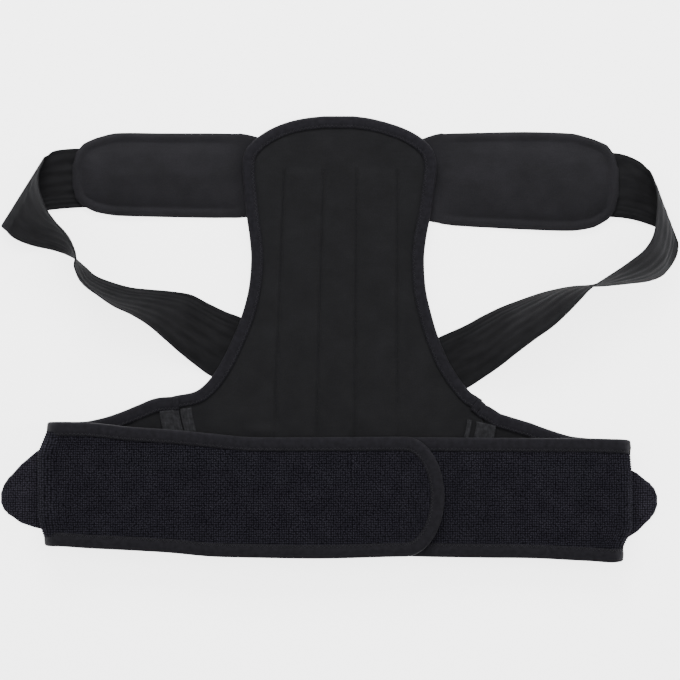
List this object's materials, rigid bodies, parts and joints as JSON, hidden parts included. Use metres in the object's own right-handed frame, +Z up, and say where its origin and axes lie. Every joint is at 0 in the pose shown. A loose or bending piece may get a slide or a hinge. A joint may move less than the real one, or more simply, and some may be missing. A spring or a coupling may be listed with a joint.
{
  "type": "posture corrector",
  "caption": "Posture corrector laid flat: a stayed neoprene back panel, a waist belt closed into a flat loop, padded shoulder loops of ribbed elastic, and pull tabs.",
  "frame": {"origin": "middle of the underside of the corrector as it lies flat", "axes": "+X towards the right shoulder loop as it lies with its body side up, +Y towards the top edge of the back panel, +Z up"},
  "size_m": [0.6088, 0.3988, 0.0445],
  "materials": {
    "neoprene": "matt knit-faced neoprene",
    "binding_tape": "matt folded elastic tape",
    "loop_cloth": "brushed loop cloth",
    "padded_cloth": "matt padded knit",
    "ribbed_elastic": "ribbed elastic webbing"
  },
  "bodies": {
    "root": {"back_panel": "neoprene", "panel_binding": "binding_tape", "panel_bottom_binding": "binding_tape", "left_belt_flap": "loop_cloth", "right_belt_flap": "loop_cloth", "left_belt_binding": "binding_tape", "right_belt_binding": "binding_tape", "left_seam_tape": "ribbed_elastic", "left_inner_seam_tape": "ribbed_elastic", "right_seam_tape": "ribbed_elastic", "right_inner_seam_tape": "ribbed_elastic", "left_shoulder_pad": "padded_cloth", "right_shoulder_pad": "padded_cloth", "left_strap": "ribbed_elastic", "right_strap": "ribbed_elastic", "left_pull_tab": "neoprene", "right_pull_tab": "neoprene"}
  },
  "joints": []
}
